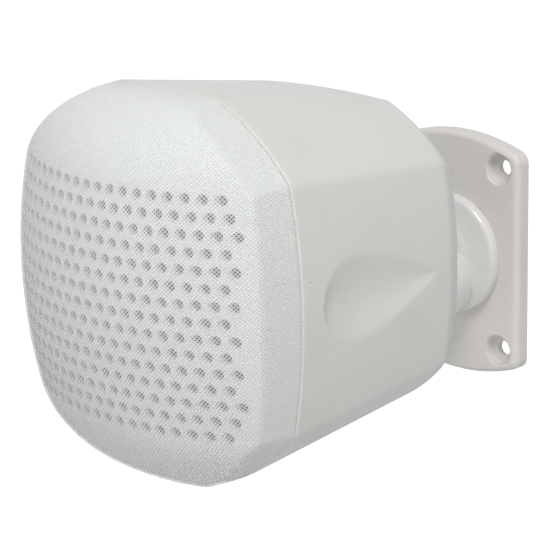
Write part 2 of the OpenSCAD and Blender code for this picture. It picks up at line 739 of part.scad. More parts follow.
module cone() color("#5d5a55") on_axis() {
    r0 = former_r;
    y1 = frame_front - surround_t;
    turned([[r0, cone_neck_y], [r0 + 1.2, cone_neck_y], [cone_r, y1 + cone_t + 0.4],
        [cone_r + 0.1, y1], [cone_r - 0.6, y1], [r0, cone_neck_y - 1.4]]);
}

module coil_former() color("#b58a4a") on_axis()
    ring_y(former_r - former_t, former_r - eps / 2, cone_neck_y - 1.2, magnet_y + 2.5);

module voice_coil() color("#b0622e") on_axis()
    ring_y(former_r, former_r + winding_t, top_plate_y - 2.4, magnet_y + 2.4);

module dust_cap() color("#4b4844") on_axis() {
    cap_r = coil_d * 0.72;
    cap_y = cone_neck_y - 1.4 - (cap_r - former_r) * (cone_neck_y - 1.4 - frame_front + surround_t)
        / (cone_r - 0.6 - former_r);
    rise = 4;
    sphere_r = (cap_r * cap_r + rise * rise) / (2 * rise);
    centre = [0, cap_y - touch - rise + sphere_r, 0];
    difference() {
        intersection() {
            translate(centre) sphere(r = sphere_r, $fn = 96);
            rod_y(cap_r, cap_y - far, cap_y - touch);
        }
        translate(centre) sphere(r = sphere_r - 0.5, $fn = 96);
    }
}

// Strip of hard card with two tags
module tag_strip() color("#c98f4a") translate(leg_mid + leg_out * touch) rotate([-leg_angle, 0, 0]) {
    translate([-9, -3, 0]) cube([18, 6, tag_t]);
    for (s = [-1, 1]) translate([s * tag_x - 1.5, -1, tag_t - 0.2]) cube([3, tag_end + 1, 0.6]);
}

// The dome as a solid of revolution about an upright axis, made smaller by w
module dome(w) {
    lean = asin(field_half_h() / dome_side_r);
    side_c = dome_plan_r - dome_side_r;
    roll_c = [side_c + (dome_side_r - dome_roll_r) * cos(lean), (dome_side_r - dome_roll_r) * sin(lean)];
    field_h = (dome_side_r - w) * sin(lean);
    translate([0, apex_y + dome_plan_r, axis_z]) rotate_extrude($fn = 180) {
        intersection() {
            translate([side_c, 0]) circle(r = dome_side_r - w, $fn = 180);
            translate([0, -field_h]) square([dome_plan_r + 1, 2 * field_h]);
        }
        for (m = [0, 1]) mirror([0, m]) {
            intersection() {
                translate(roll_c) circle(r = dome_roll_r - w, $fn = 96);
                translate(roll_c) square([dome_plan_r, far]);
            }
            square([roll_c[0], roll_c[1] + dome_roll_r - w]);
        }
    }
}
function field_half_h() = 7 * hole_pitch + hole_d / 2;

// The cap's outside made smaller by w, with its back at y
module cap_form(w, y) {
    intersection() {
        loft([ring(apex_y - 1, inset(cap_front, w), mouth_bulge), ring(y, inset(mouth, w), mouth_bulge)]);
        dome(w);
    }
}

// Rows of holes, every second row set half a pitch aside, the first and the last row two holes shorter
module hole_grid() {
    for (row = [-7:7]) {
        n = (row % 2 == 0) ? 19 : (abs(row) == 7 ? 18 : 20);
        for (i = [0:n - 1]) translate([(i - (n - 1) / 2) * hole_pitch, 0, axis_z + row * hole_pitch])
            rod_y(hole_d / 2, apex_y - 1, apex_y + 30, $fn = 24);
    }
}

module grille_shell() color("#e9ebe9") {
    skin = cloth_t + cloth_gap;
    difference() {
        union() {
            difference() {
                cap_form(skin, mouth_y - seam_gap);
                cap_form(skin + grille_wall, mouth_y + 1);
            }
            intersection() {
                post_at() rod_y(post_r, apex_y, post_end);
                union() {
                    cap_form(skin + 0.5, mouth_y - 1);
                    translate([-far, mouth_y - 2, -far]) cube([2 * far, far, 2 * far]);
                }
            }
        }
        hole_grid();
    }
}

module grille_cloth() color("#f4f5f4") difference() {
    cap_form(0, mouth_y - seam_gap);
    cap_form(cloth_t, mouth_y + 1);
}

module grille_sockets() color("#2f2f2f") post_at() difference() {
    union() {
        rod_y(socket_r - touch, baffle_y, baffle_back);
        rod_y(socket_r + 0.9, baffle_y - 0.8, baffle_y);
    }
    rod_y(post_r + touch, baffle_y - 1, post_end + touch);
}

wall_plate();
swivel_washer();
wave_washer();
swivel_screw();
swivel_knuckle();
brass_inserts();
tilt_screw();
friction_washers();
tilt_arm();
arm_screws();
cabinet();
cable_grommet();
terminal_block();
terminal_screws();
internal_leads();
damping_wad();
baffle();
baffle_gasket();
baffle_screws();
driver_gasket();
basket();
driver_screws();
top_plate();
magnet();
yoke();
spider();
surround();
surround_ring();
cone();
coil_former();
voice_coil();
dust_cap();
tag_strip();
grille_shell();
grille_cloth();
grille_sockets();
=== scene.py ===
import math

import bmesh
import bpy
import numpy as np
from bpy.props import FloatProperty, PointerProperty, StringProperty
from mathutils import Matrix, Vector


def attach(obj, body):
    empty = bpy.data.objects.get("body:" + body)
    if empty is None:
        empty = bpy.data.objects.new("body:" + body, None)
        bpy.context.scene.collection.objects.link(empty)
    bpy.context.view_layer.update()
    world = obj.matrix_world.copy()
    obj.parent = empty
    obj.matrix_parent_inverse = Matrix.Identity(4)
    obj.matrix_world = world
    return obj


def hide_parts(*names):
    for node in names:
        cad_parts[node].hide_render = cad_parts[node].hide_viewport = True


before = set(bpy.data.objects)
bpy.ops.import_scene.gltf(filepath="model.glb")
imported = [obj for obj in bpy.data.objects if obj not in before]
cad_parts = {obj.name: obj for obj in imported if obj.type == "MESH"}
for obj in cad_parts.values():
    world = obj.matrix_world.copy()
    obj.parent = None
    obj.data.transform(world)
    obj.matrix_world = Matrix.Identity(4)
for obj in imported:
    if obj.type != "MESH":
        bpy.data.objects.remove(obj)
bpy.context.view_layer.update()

bl_info = {
    "name": "Wall speaker looks",
    "version": (1, 0, 0),
    "blender": (4, 5, 0),
    "location": "3D View > Sidebar > Speaker",
    "description": "Cloth, moulded shells, materials, light and camera for a wall and ceiling speaker",
    "category": "Object",
}

MM = 0.001

# Places along Y and the speaker's axis, in millimetres, the same as the frame's
AXIS_Z = 20.0
BACK_Y = -74.0
MOUTH_Y = BACK_Y - 87.0
APEX_Y = MOUTH_Y - 40.6

# The bevel round the cabinet's back: its depth, and how far it goes in at the sides, corners and top
BEVEL = 6.4
BEVEL_INSET = 2.0
BEVEL_CORNER_INSET = 4.5
BEVEL_TOP_INSET = 5.5
SHOULDER_Y = BACK_Y - BEVEL
BACK_FLAT_INSET = 10.0

# The cabinet's wall, the thinner one round the grille's pocket, and the ledge that the baffle sits on
WALL = 3.0
POCKET_WALL = 2.4
LEDGE_Y = MOUTH_Y + 9.0
LEDGE_T = 4.0
LEDGE_W = 2.4

# Radii of the shell's profile, from the back's edge over the shoulder and the mouth to the ledge's foot
PROFILE_R = (1.6, 1.2, 0.9, 0.6, 0.2, 0.3, 1)

# The most of a straight stretch that the arc at its end may take
ARC_SHARE = 0.48

# Longest step between the rings of the shell, on its outside and elsewhere
OUTSIDE_STEP = 1.2
INSIDE_STEP = 9

# The seam between the cloth and the cabinet, and the roll of the cloth's hem in it
SEAM_GAP = 0.75
HEM_R = 0.35

# Outlines as [side corner, upper corner], with the bulge of the side, corner and top edges
MOUTH = np.array([[62.2, 45.0], [25.1, 71.3]])
SHOULDER = np.array([[59.7, 38.55], [32.6, 58.4]])
CAP_FRONT = np.array([[58.8, 41.9], [25.6, 67.9]])
MOUTH_BULGE = np.array([4.7, 2.9, 1.5])
BACK_BULGE = np.array([3.6, 2.0, 1.2])

# Points along the side, corner, top and other corner edge of an outline, and about how far apart they are
EDGE_STEPS = (96, 56, 56, 56)
OUTLINE_STEP = 0.9

# Rings of the cloth from its middle to the crease, round the crease, down the band and round the hem
DOME_ROWS = 46
CREASE_ROWS = 12
BAND_ROWS = 14
HEM_TURNS = (30, 60, 90)

# How often the search for the crease halves its range, and the most of the band that its rounding takes
HALVINGS = 40
BAND_SHARE = 0.45

# The dome: a plan radius, a side radius over the hole field and a tighter roll above and below it
DOME_PLAN_R = 107.0
DOME_SIDE_R = 214.0
DOME_ROLL_R = 37.0
FIELD_HALF_H = 44.0

# The wall plate, as in the CAD: its sides, how far its two long arcs rise, and its corners and front edge
PLATE_W = 68.0
PLATE_H = 88.0
PLATE_RISE = 6.7
PLATE_CORNER_R = 5.0
PLATE_EDGE_R = 2.6
PLATE_FRONT = -7.0
SLACK = 0.01

# The hollow in each side: depth, half height, where it starts and ends, and how far out its wall is at least
DIMPLE_DEPTH = 2.4
DIMPLE_HALF_H = 15.0
DIMPLE_Y = (MOUTH_Y + 11.5, BACK_Y - 15.5)
DIMPLE_MIN_X = 45

# In the finished CAD meshes, flats within the first angle are joined, and edges past the second stay sharp
FLAT_ANGLE = math.radians(0.2)
SHARP_ANGLE = math.radians(28)

# Points nearer than this, in metres, are one point: in a CAD mesh, and after its edge has been reshaped
SAME_POINT = 1e-6
SAME_POINT_RESHAPED = 2e-5
SLIVER_EDGE = 1e-5

# The camera, fitted to the photograph: its place in metres, its right and forward directions and its lens
CAMERA_PLACE = (0.5684, -0.6580, 0.2323)
CAMERA_RIGHT = (0.699, 0.7148, -0.0228)
CAMERA_FORWARD = (-0.6929, 0.6689, -0.2692)
CAMERA_LENS = 141.5
CAMERA_SENSOR = 36.0

# The studio in metres and watts: the floor's half width and height, and the sky's and the floor's own light
FLOOR_HALF = 4.0
FLOOR_Z = -0.28
FLOOR_GLOW = 0.75
SKY_LEVEL = 0.33
LAMP_AIM = (0, -0.1, 0.02)

# Each lamp's name, place, width and power. A disk this wide keeps every shadow soft
LAMPS = (
    ("key", (0.72, -0.95, 1.65), 0.8, 20.5),
    ("side", (1.6, -0.3, 0.7), 0.9, 2.4),
    ("low", (1.0, -1.4, -0.15), 0.9, 3.6),
    ("fill", (-1.1, -1.3, 0.2), 1.2, 2.8),
)

# Colours of dust in the cabinet's grain and of dust in the cloth
DUST = "#77756f"
CLOTH_DUST = "#8d8c88"


def linear(code):
    """A colour written as an sRGB hex code, turned to linear red, green, blue and alpha."""
    parts = [int(code[i:i + 2], 16) / 255 for i in (1, 3, 5)]
    return tuple(c / 12.92 if c <= 0.04045 else ((c + 0.055) / 1.055) ** 2.4 for c in parts) + (1.0,)


def corners(v):
    """The eight corners of an outline, anticlockwise from the lower right one, mirrored from the two in v."""
    (ax, az), (bx, bz) = v
    return np.array([[ax, -az], [ax, az], [bx, bz], [-bx, bz], [-ax, az], [-ax, -az], [-bx, -bz], [bx, -bz]])


def inset(v, side, corner=None, top=None):
    """The two corners moved in so that the side, corner and top edges lie those widths further in."""
    corner, top = (side if w is None else w for w in (corner, top))
    d = np.array([v[0][0] - v[1][0], v[1][1] - v[0][1]])
    nx, nz = np.array([d[1], d[0]]) / np.linalg.norm(d)
    return np.array([[v[0][0] - side, v[0][1] - (corner - side * nx) / nz],
                     [v[1][0] - (corner - top * nz) / nx, v[1][1] - top]])


def outline(v, bulge, soft):
    """The outline with each edge bowed out by the parabola 4 b t (1 - t), and its corners rounded.

    The rounding is a Gaussian blur of the closed curve, soft steps wide, done on its Fourier terms.
    """
    c = corners(v)
    points = []
    for k in range(8):
        a, b = c[k], c[(k + 1) % 8]
        t = (np.arange(EDGE_STEPS[k % 4]) / EDGE_STEPS[k % 4])[:, None]
        out = np.array([b[1] - a[1], a[0] - b[0]]) / np.linalg.norm(b - a)
        points.append(a + (b - a) * t + out * 4 * bulge[(0, 1, 2, 1)[k % 4]] * t * (1 - t))
    curve = np.concatenate(points)
    line = np.fft.fft(curve[:, 0] + 1j * curve[:, 1])
    waves = np.fft.fftfreq(len(curve))
    line = np.fft.ifft(line * np.exp(-2 * (np.pi * soft * waves) ** 2))
    return np.stack([line.real, line.imag], 1)


def section(y):
    """Corners and bulges of the cabinet's outside at y, straight from mouth to shoulder."""
    t = min((y - MOUTH_Y) / (SHOULDER_Y - MOUTH_Y), 1.0)
    return MOUTH + (SHOULDER - MOUTH) * t, MOUTH_BULGE + (BACK_BULGE - MOUTH_BULGE) * t


def surface(name, rings, uv=None):
    """A closed mesh through rings of equally many points, with a middle point in its first and last ring.

    Ring k, point i joins ring k + 1, point i, and the last point of a ring joins its first. uv, where it is
    given, places each point in the map named cloth, and both middle points at its origin.
    """
    rings = np.asarray(rings, float)
    rows, n = rings.shape[:2]
    verts = rings.reshape(-1, 3)
    k, i = np.meshgrid(np.arange(rows - 1), np.arange(n), indexing="ij")
    j = (i + 1) % n
    quads = np.stack([k * n + i, k * n + j, (k + 1) * n + j, (k + 1) * n + i], -1).reshape(-1, 4)
    around = np.arange(n)
    after = (around + 1) % n
    start, end, last = rows * n, rows * n + 1, (rows - 1) * n
    verts = np.vstack([verts, rings[0].mean(0), rings[-1].mean(0)])
    first_fan = np.stack([np.full(n, start), after, around], 1)
    last_fan = np.stack([last + around, last + after, np.full(n, end)], 1)
    faces = quads.tolist() + first_fan.tolist() + last_fan.tolist()
    mesh = bpy.data.meshes.new(name)
    mesh.from_pydata((verts * MM).tolist(), [], faces)
    mesh.shade_smooth()
    if uv is not None:
        loops = np.empty(len(mesh.loops), int)
        mesh.loops.foreach_get("vertex_index", loops)
        flat = np.vstack([np.asarray(uv, float).reshape(-1, 2), np.zeros((2, 2))])
        mesh.uv_layers.new(name="cloth").data.foreach_set("uv", (flat[loops] * MM).ravel())
    piece = bpy.data.objects.new(name, mesh)
    bpy.context.scene.collection.objects.link(piece)
    return piece


def dome_radius(z):
    """Radius of the dome about its upright axis at height z.

    It is the side arc as far as the hole field goes, then the tighter roll, and both have one slope where
    they meet.
    """
    lean = math.asin(FIELD_HALF_H / DOME_SIDE_R)
    side_x = DOME_PLAN_R - DOME_SIDE_R
    roll_x = side_x + (DOME_SIDE_R - DOME_ROLL_R) * math.cos(lean)
    roll_z = (DOME_SIDE_R - DOME_ROLL_R) * math.sin(lean)
    up = np.abs(z - AXIS_Z)
    side = side_x + np.sqrt(np.maximum(DOME_SIDE_R ** 2 - up ** 2, 0))
    roll = roll_x + np.sqrt(np.maximum(DOME_ROLL_R ** 2 - (up - roll_z) ** 2, 0))
    return np.where(up <= FIELD_HALF_H, side, roll)


def dome_y(x, z):
    """How far forward the dome stands at x and z: a circle in plan, of the radius at that height."""
    return APEX_Y + DOME_PLAN_R - np.sqrt(np.maximum(dome_radius(z) ** 2 - x ** 2, 0))


def cloth_rings(soft, crease):
    """Rings of the stretched cloth, from its middle over the crease to the hem in the seam.

    Each ruling runs straight from the mouth's outline to the cap's front outline. Where it meets the dome
    is the crease. From there one curve runs in over the dome to the middle and the other out to the seam,
    and a quadratic Bezier arc that starts and ends a short way off rounds the corner between them.
    """
    front = outline(CAP_FRONT, MOUTH_BULGE, soft)
    mouth = outline(MOUTH, MOUTH_BULGE, soft)
    a = np.stack([front[:, 0], np.full(len(front), APEX_Y - 1), front[:, 1] + AXIS_Z], 1)
    b = np.stack([mouth[:, 0], np.full(len(mouth), MOUTH_Y - SEAM_GAP), mouth[:, 1] + AXIS_Z], 1)
    low, high = np.zeros(len(a)), np.ones(len(a))
    for _ in range(HALVINGS):
        mid = (low + high) / 2
        p = a + (b - a) * mid[:, None]
        outside = p[:, 1] < dome_y(p[:, 0], p[:, 2])
        low, high = np.where(outside, mid, low), np.where(outside, high, mid)
    c = a + (b - a) * high[:, None]
    band = np.linalg.norm(b - c, axis=1)
    away = (b - c) / band[:, None]
    reach = np.hypot(c[:, 0], c[:, 2] - AXIS_Z)

    def on_dome(share):
        x, z = c[:, 0] * share, AXIS_Z + (c[:, 2] - AXIS_Z) * share
        return np.stack([x, dome_y(x, z), z], 1)

    start = 1 - crease / reach
    rings = [on_dome(start * s) for s in np.linspace(0, 1, DOME_ROWS + 1)[1:]]
    first, last = rings[-1], c + away * np.minimum(crease, band * BAND_SHARE)[:, None]
    for u in np.linspace(0, 1, CREASE_ROWS + 1)[1:]:
        rings.append(first * (1 - u) ** 2 + c * 2 * u * (1 - u) + last * u ** 2)
    for u in np.linspace(0, 1, BAND_ROWS + 1)[1:]:
        rings.append(last + (b - last) * u)
    inward = (np.array([0, MOUTH_Y, AXIS_Z]) - b) * [1, 0, 1]
    inward /= np.linalg.norm(inward, axis=1)[:, None]
    for turn in HEM_TURNS:
        angle = math.radians(turn)
        rings.append(b + away * HEM_R * math.sin(angle) + inward * HEM_R * (1 - math.cos(angle)))
    return np.array(rings)


def flat_map(rings):
    """The cloth laid flat: each point keeps its direction from the middle and its path along the surface."""
    centre = np.broadcast_to([0, APEX_Y, AXIS_Z], rings[:1].shape)
    steps = np.diff(np.concatenate([centre, rings]), axis=0)
    along = np.cumsum(np.linalg.norm(steps, axis=2), 0)
    across = rings[..., [0, 2]] - [0, AXIS_Z]
    return across / np.linalg.norm(across, axis=2)[..., None] * along[..., None]


def normals_of(rings):
    """Outward normals of a grid of rings, from the cross product of its two directions."""
    around = np.roll(rings, -1, 1) - np.roll(rings, 1, 1)
    along = np.gradient(rings, axis=0)
    n = np.cross(along, around)
    return n / np.linalg.norm(n, axis=2)[..., None]


def filleted(profile, radii, steps=6):
    """A polyline with each inner corner rounded by a quadratic Bezier arc that starts its radius away.

    An arc takes less than half of either straight stretch, so that two of them never meet.
    """
    profile = np.asarray(profile, float)
    out = [profile[0]]
    for p, q, r, radius in zip(profile, profile[1:], profile[2:], radii):
        before, behind = np.linalg.norm(p - q), np.linalg.norm(r - q)
        a = q + (p - q) / before * min(radius, before * ARC_SHARE)
        b = q + (r - q) / behind * min(radius, behind * ARC_SHARE)
        out += [a * (1 - u) ** 2 + q * 2 * u * (1 - u) + b * u ** 2 for u in np.linspace(0, 1, steps + 1)]
    return np.array(out + [profile[-1]])


def dimple(points):
    """How deep the drop shaped hollow is at points on the side.

    Along the side its half height follows sin(pi t^0.55)^0.8, which is widest near the mouth and runs out to
    a point near the back. Across it the depth follows (1 - u^2)^1.6, where u is 1 a tenth past the half
    height, and that meets the side without an edge.
    """
    t = np.clip((points[..., 1] - DIMPLE_Y[0]) / (DIMPLE_Y[1] - DIMPLE_Y[0]), 0, 1)
    half = DIMPLE_HALF_H * np.sin(np.pi * t ** 0.55).clip(0) ** 0.8 + 0.15
    u = (points[..., 2] - AXIS_Z) / (half * 1.1)
    return DIMPLE_DEPTH * (half / DIMPLE_HALF_H) ** 0.8 * np.clip(1 - u ** 2, 0, None) ** 1.6


def cabinet_rings(soft):
    """Rings of the cabinet's shell, how many of them lie on the back's flat, and how many in the profile.

    They run out over the back, along the outside to the mouth, over the lip and the ledge, and back inside.
    """
    profile = [(BACK_Y, BACK_FLAT_INSET), (BACK_Y, BEVEL_INSET), (SHOULDER_Y, 0), (MOUTH_Y, 0),
               (MOUTH_Y, POCKET_WALL), (LEDGE_Y, POCKET_WALL), (LEDGE_Y, WALL + LEDGE_W),
               (LEDGE_Y + LEDGE_T, WALL), (BACK_Y - WALL - 1, WALL + BEVEL_INSET)]
    pts = filleted(profile, PROFILE_R)
    dense = [pts[0]]
    for p, q in zip(pts, pts[1:]):
        step = OUTSIDE_STEP if max(p[1], q[1]) < 0.1 else INSIDE_STEP
        count = max(1, int(np.ceil(np.linalg.norm(q - p) / step)))
        dense += [p + (q - p) * k / count for k in range(1, count + 1)]
    rings = []
    for y, w in dense:
        v, bulge = section(y)
        cut = np.clip((y - SHOULDER_Y) / BEVEL, 0, 1) if y > SHOULDER_Y and w < BACK_FLAT_INSET + 1 else 0
        line = outline(inset(v, w, w + cut * (BEVEL_CORNER_INSET - BEVEL_INSET),
                             w + cut * (BEVEL_TOP_INSET - BEVEL_INSET)), bulge, soft)
        rings.append(np.stack([line[:, 0], np.full(len(line), y), line[:, 1] + AXIS_Z], 1))
    rings = np.array(rings)
    middle = np.array([0, 0, AXIS_Z])
    shares = np.linspace(0, 1, 14)[1:-1]
    back = [middle * [1, 0, 1] + (rings[0] - middle) * [s, 1, s] for s in shares]
    inner = [middle * [1, 0, 1] + (rings[-1] - middle) * [s, 1, s] for s in shares[::-1]]
    return np.concatenate([back, rings, inner]), len(back), len(dense)


def node(tree, kind, put=None, **settings):
    """Adds a node with its own properties as settings, and put gives each input a value or its source."""
    made = tree.nodes.new("ShaderNode" + kind)
    for key, value in settings.items():
        setattr(made, key, value)
    for key, value in (put or {}).items():
        if isinstance(value, bpy.types.NodeSocket):
            tree.links.new(value, made.inputs[key])
        else:
            made.inputs[key].default_value = value
    return made


def new_tree(name):
    """An empty material and its node tree."""
    material = bpy.data.materials.new(name)
    material.use_nodes = True
    material.node_tree.nodes.clear()
    return material, material.node_tree


def grain(tree, size_mm, detail=2.0, roughness=0.5):
    """Noise whose grains are about size_mm across, from 0 to 1."""
    place = node(tree, "TexCoord").outputs["Object"]
    put = {"Vector": place, "Scale": 1 / (size_mm * MM), "Detail": detail, "Roughness": roughness}
    return node(tree, "TexNoise", put).outputs["Fac"]


def spread(tree, value, low, high, start=0.0, end=1.0):
    """Maps a value from start..end to low..high, held within them."""
    put = {"Value": value, "From Min": start, "From Max": end, "To Min": low, "To Max": high}
    return node(tree, "MapRange", put).outputs["Result"]


def blend_colour(tree, factor, first, second):
    """A mix of two colours, each a colour or an output."""
    put = {"Factor": factor, 6: first, 7: second}
    return node(tree, "Mix", put, data_type="RGBA").outputs[2]


def specks(tree, spacing_mm, size_mm):
    """Scattered round specks of dust, 1 on a speck and 0 off it."""
    place = node(tree, "TexCoord").outputs["Object"]
    cells = node(tree, "TexVoronoi", {"Vector": place, "Scale": 1 / (spacing_mm * MM), "Randomness": 1.0})
    edge = size_mm / spacing_mm
    return spread(tree, cells.outputs["Distance"], 1, 0, edge * 0.5, edge)


def moulded(name, colour, shade, roughness, grain_mm=0.35, relief_mm=0.012, coat=0.0, dust=0.0, smudge=0.0):
    """Moulded thermoplastic: one colour with faint smudges, a fine spark eroded grain and, if given, dust.

    The smudges are hand marks some centimetres wide, and the gloss varies over about a centimetre.
    """
    smudge_mm, gloss_mm, dust_pitch_mm, dust_mm = 26, 9, 11, 0.45
    material, tree = new_tree(name)
    cloud = spread(tree, grain(tree, smudge_mm, 3), 0, smudge, 0.5, 0.8)
    base = blend_colour(tree, cloud, linear(colour), linear(shade))
    if dust:
        put = {0: specks(tree, dust_pitch_mm, dust_mm), 1: dust}
        share = node(tree, "Math", put, operation="MULTIPLY").outputs[0]
        base = blend_colour(tree, share, base, linear(DUST))
    fine = grain(tree, grain_mm, 1)
    bump = node(tree, "Bump", {"Height": fine, "Distance": relief_mm * MM, "Strength": 1.0})
    gloss = spread(tree, grain(tree, gloss_mm, 2), roughness - 0.03, roughness + 0.04)
    put = {"Base Color": base, "Roughness": gloss, "IOR": 1.53, "Normal": bump.outputs[0],
           "Coat Weight": coat, "Coat Roughness": 0.08}
    shader = node(tree, "BsdfPrincipled", put)
    node(tree, "OutputMaterial", {"Surface": shader.outputs[0]})
    return material


def metal(name, colour, shade, roughness, grain_mm=0.5, relief_mm=0.006):
    """Plated or turned metal: colour clouded by plating, with a fine grain in its gloss."""
    material, tree = new_tree(name)
    base = blend_colour(tree, grain(tree, 3, 3), linear(colour), linear(shade))
    bump = node(tree, "Bump", {"Height": grain(tree, grain_mm, 2), "Distance": relief_mm * MM})
    put = {"Base Color": base, "Metallic": 1.0, "Normal": bump.outputs[0],
           "Roughness": spread(tree, grain(tree, 1.5, 2), roughness - 0.06, roughness + 0.08)}
    shader = node(tree, "BsdfPrincipled", put)
    node(tree, "OutputMaterial", {"Surface": shader.outputs[0]})
    return material


def fibrous(name, colour, shade, fibre_mm, relief_mm, roughness=0.9, sheen=0.0):
    """Paper, card, wadding or foam: matt, with fibres or cells of one size in colour and relief."""
    material, tree = new_tree(name)
    fibres = grain(tree, fibre_mm, 4, 0.65)
    base = blend_colour(tree, spread(tree, fibres, 0, 1, 0.35, 0.65), linear(colour), linear(shade))
    bump = node(tree, "Bump", {"Height": fibres, "Distance": relief_mm * MM})
    put = {"Base Color": base, "Roughness": roughness, "Normal": bump.outputs[0], "Sheen Weight": sheen,
           "IOR": 1.45}
    shader = node(tree, "BsdfPrincipled", put)
    node(tree, "OutputMaterial", {"Surface": shader.outputs[0]})
    return material


def grille_cloth_material(sizes, colours):
    """White polyester netting: two sets of yarns crossing on the bias, with a pore in each mesh.

    The second set lies 2 % closer, and both are turned to the angles that the photograph shows. A pore opens
    where the sum of the two cosines is high, and a yarn's ridge stands up where it is low. The colour is
    painted darker from the ridges down into the valleys between the yarns, as painted shade.
    The yarns wander a little over each stretch of wave_mm, because the cloth is pulled over the grille. The
    pores are see-through, so that the grille's plastic and its dark holes show in them as on the real one,
    and the thin yarns let most of a lamp's light through to the plastic, as shade says. The cloth is a thin
    closed shell that the eye looks through twice, so each layer has the cover whose square gives the whole.
    """
    wave_mm, wander_mm, relief_mm, shade = 14, 0.15, 0.01, 0.86
    material, tree = new_tree("polyester_netting")
    place = node(tree, "UVMap", uv_map="cloth").outputs[0]
    put = {"Vector": place, "Scale": 1 / (wave_mm * MM), "Detail": 1.0}
    drift = node(tree, "TexNoise", put).outputs["Color"]
    push = node(tree, "VectorMath", {0: drift, 1: (0.5, 0.5, 0.5)}, operation="SUBTRACT").outputs[0]
    wander = node(tree, "VectorMath", {0: push, "Scale": wander_mm * MM}, operation="SCALE").outputs[0]
    place = node(tree, "VectorMath", {0: place, 1: wander}, operation="ADD").outputs[0]
    sets = []
    for pitch, angle in ((sizes.yarn_pitch, -42), (sizes.yarn_pitch * 0.98, 52)):
        turns = 2 * math.pi / pitch
        way = (turns * math.cos(math.radians(angle)), turns * math.sin(math.radians(angle)), 0)
        phase = node(tree, "VectorMath", {0: place, 1: way}, operation="DOT_PRODUCT").outputs["Value"]
        sets.append(node(tree, "Math", {0: phase}, operation="COSINE").outputs[0])
    both = node(tree, "Math", {0: sets[0], 1: sets[1]}, operation="ADD").outputs[0]
    pore = spread(tree, both, 0, 1, 0.3, 1.5)
    ridge = node(tree, "Math", {0: sets[0], 1: 1.5, 2: sets[1]}, operation="MULTIPLY_ADD").outputs[0]
    # Painted shade: the yarns' colour darkens from their ridges into the valleys between them
    tone = blend_colour(tree, spread(tree, ridge, 0, 1, -2.5, 2.5), linear(colours.cloth),
                        linear(colours.valley_shade))
    tone = blend_colour(tree, specks(tree, 40, 0.5), tone, linear(CLOTH_DUST))
    bump = node(tree, "Bump", {"Height": ridge, "Distance": relief_mm * MM, "Strength": 1.0}, invert=True)
    yarn, gap = (1 - math.sqrt(1 - cover) for cover in (sizes.yarn_cover, sizes.pore_cover))
    alpha = spread(tree, pore, yarn, gap)
    put = {"Base Color": tone, "Roughness": 0.85, "IOR": 1.45, "Normal": bump.outputs[0],
           "Sheen Weight": 0.15, "Alpha": alpha}
    shader = node(tree, "BsdfPrincipled", put)
    clear = node(tree, "BsdfTransparent", {"Color": (shade, shade, shade, 1)})
    lamp = node(tree, "LightPath").outputs["Is Shadow Ray"]
    mixed = node(tree, "MixShader", {0: lamp, 1: shader.outputs[0], 2: clear.outputs[0]})
    node(tree, "OutputMaterial", {"Surface": mixed.outputs[0]})
    return material


def round_plate_edge(points):
    """Lays the plate's front edge on its true quarter circle, by how far each point is in from the outline.

    The outline is two long arcs between straight sides, with round corners. Inside a corner the distance is
    measured from the corner's own centre, and elsewhere from the nearer of the side and the arc. A point at
    distance d goes back by r - sqrt(r^2 - (r - d)^2), where r is the edge's radius.
    """
    half_w, half_h, rise, corner = PLATE_W / 2, PLATE_H / 2, PLATE_RISE, PLATE_CORNER_R
    arc_r = (half_w ** 2 + rise ** 2) / (2 * rise)
    arc_z = half_h + rise - arc_r
    centre_x = half_w - corner
    centre_z = arc_z + math.sqrt((arc_r - corner) ** 2 - centre_x ** 2)
    x, y, z = np.abs(points[:, 0]), points[:, 1], np.abs(points[:, 2])
    side, arc = half_w - x, arc_r - np.hypot(x, z - arc_z)
    in_corner = (side < corner) & (arc < corner) & (z > centre_z)
    inside = np.where(in_corner, corner - np.hypot(x - centre_x, z - centre_z), np.minimum(side, arc))
    inside = np.clip(inside, 0, PLATE_EDGE_R)
    drop = PLATE_EDGE_R - np.sqrt(PLATE_EDGE_R ** 2 - (PLATE_EDGE_R - inside) ** 2)
    on_edge = (y <= PLATE_FRONT + PLATE_EDGE_R + SLACK) & (inside < PLATE_EDGE_R)
    return np.stack([points[:, 0], np.where(on_edge, PLATE_FRONT + drop, y), points[:, 2]], 1)


def smoothed(name, body, material, reshape=None):
    """A copy of a CAD node's mesh, its doubles merged and its flats joined, with small facets shaded smooth.

    reshape, where it is given, takes all points in millimetres and returns them where they should be.
    """
    mesh = bpy.data.meshes.new(name + "_finish")
    work = bmesh.new()
    work.from_mesh(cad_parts[name].data)
    bmesh.ops.remove_doubles(work, verts=work.verts, dist=SAME_POINT)
    if reshape:
        work.to_mesh(mesh)
        places = np.empty(3 * len(mesh.vertices), np.float32)
        mesh.vertices.foreach_get("co", places)
        places = reshape(places.reshape(-1, 3).astype(float) / MM) * MM
        mesh.vertices.foreach_set("co", places.astype(np.float32).ravel())
        work.clear()
        work.from_mesh(mesh)
        bmesh.ops.remove_doubles(work, verts=work.verts, dist=SAME_POINT_RESHAPED)
        bmesh.ops.dissolve_degenerate(work, edges=work.edges, dist=SLIVER_EDGE)
    bmesh.ops.dissolve_limit(work, verts=work.verts, edges=work.edges, angle_limit=FLAT_ANGLE)
    work.to_mesh(mesh)
    work.free()
    mesh.shade_smooth()
    mesh.set_sharp_from_angle(angle=SHARP_ANGLE)
    mesh.materials.clear()
    mesh.materials.append(material)
    piece = bpy.data.objects.new(name + "_finish", mesh)
    bpy.context.scene.collection.objects.link(piece)
    weighted = piece.modifiers.new("flat_faces_stay_flat", "WEIGHTED_NORMAL")
    weighted.weight, weighted.keep_sharp = 100, True
    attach(piece, body)
    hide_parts(name)


def dress(material, *names):
    """Gives one material to whole CAD nodes."""
    for name in names:
        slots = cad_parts[name].data.materials
        slots.clear()
        slots.append(material)


